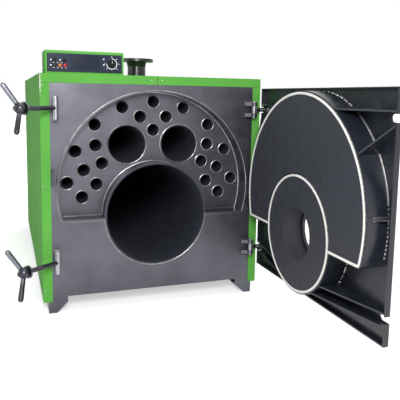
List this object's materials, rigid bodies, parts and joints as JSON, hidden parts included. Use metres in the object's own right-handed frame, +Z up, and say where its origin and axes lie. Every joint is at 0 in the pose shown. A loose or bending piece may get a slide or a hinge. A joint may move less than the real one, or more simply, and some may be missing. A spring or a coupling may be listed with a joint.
{
  "type": "three-pass hot-water boiler",
  "caption": "Fire-tube hot-water boiler in a green sheet jacket, with its front door swung open on the tube plate and furnace, two swing clamps and a control panel.",
  "frame": {"origin": "middle of the front left foot's sole, on the floor", "axes": "+X along the front plate towards the hinges, +Y into the boiler, +Z up"},
  "size_m": [1.5096, 3.6, 1.411],
  "materials": {
    "green_paint": "satin",
    "boiler_plate": "rough",
    "dark_steel": "satin",
    "black_paint": "satin",
    "bright_steel": "satin",
    "refractory": "matte",
    "seal_rope": "matte",
    "panel_black": "satin",
    "lamp_red": "gloss"
  },
  "bodies": {
    "root": {"jacket_left": "green_paint", "jacket_right": "green_paint", "jacket_top_left": "green_paint", "jacket_top_right": "green_paint", "jacket_rear": "green_paint", "feet_front": "dark_steel", "feet_rear": "dark_steel", "front_plate": "boiler_plate", "recess_shelves": "boiler_plate", "tube_plate": "boiler_plate", "centring_lug": "boiler_plate", "shell": "boiler_plate", "rear_tube_plate": "boiler_plate", "rear_plate": "dark_steel", "furnace_tube": "boiler_plate", "return_tubes": "boiler_plate", "fire_tubes_outer": "boiler_plate", "fire_tubes_middle": "boiler_plate", "fire_tubes_inner": "boiler_plate", "reversing_chamber": "boiler_plate", "smoke_box": "black_paint", "smoke_box_cover": "black_paint", "flue_outlet": "black_paint", "flow_nozzle": "black_paint", "return_nozzle": "black_paint", "panel_housing": "green_paint", "panel_face": "panel_black", "panel_knobs": "panel_black", "panel_lamps": "lamp_red", "hinge_ears": "dark_steel", "hinge_pins": "bright_steel", "clamp_ears": "bright_steel", "clamp_pins": "bright_steel"},
    "door": {"door_pan": "black_paint", "burner_flange": "black_paint", "plug_collar": "black_paint", "burner_collar": "black_paint", "plug_lining": "refractory", "burner_block": "refractory", "plug_rope": "seal_rope", "burner_rope": "seal_rope", "door_ribs_upper": "black_paint", "door_ribs_lower": "black_paint", "hinge_bolts": "dark_steel", "hinge_nuts": "bright_steel"},
    "thermostat_knob": {"thermostat_dial": "panel_black"},
    "clamp_upper": {"clamp_bolt_upper": "dark_steel"},
    "clamp_lower": {"clamp_bolt_lower": "dark_steel"},
    "handle_upper": {"handle_nut_upper": "dark_steel"},
    "handle_lower": {"handle_nut_lower": "dark_steel"}
  },
  "joints": [
    {"name": "door_hinge", "type": "hinge", "parent": "root", "child": "door", "pos_m": [1.1475, -0.141, 0.703], "axis": [0, 0, -1], "range_deg": [-5, 90]},
    {"name": "thermostat_turn", "type": "hinge", "parent": "root", "child": "thermostat_knob", "pos_m": [0.3275, -0.079, 1.348], "axis": [0, 1, 0], "range_deg": [-135, 135]},
    {"name": "clamp_upper_swing", "type": "hinge", "parent": "root", "child": "clamp_upper", "pos_m": [0.0255, -0.141, 1.112], "axis": [0, 0, 1], "range_deg": [-36, 54]},
    {"name": "handle_upper_spin", "type": "hinge", "parent": "clamp_upper", "child": "handle_upper", "pos_m": [-0.15087, -0.26914, 1.112], "axis": [-0.809, -0.5878, 0], "continuous": true},
    {"name": "clamp_lower_swing", "type": "hinge", "parent": "root", "child": "clamp_lower", "pos_m": [0.0255, -0.141, 0.294], "axis": [0, 0, 1], "range_deg": [-36, 54]},
    {"name": "handle_lower_spin", "type": "hinge", "parent": "clamp_lower", "child": "handle_lower", "pos_m": [-0.15087, -0.26914, 0.294], "axis": [-0.809, -0.5878, 0], "continuous": true}
  ]
}
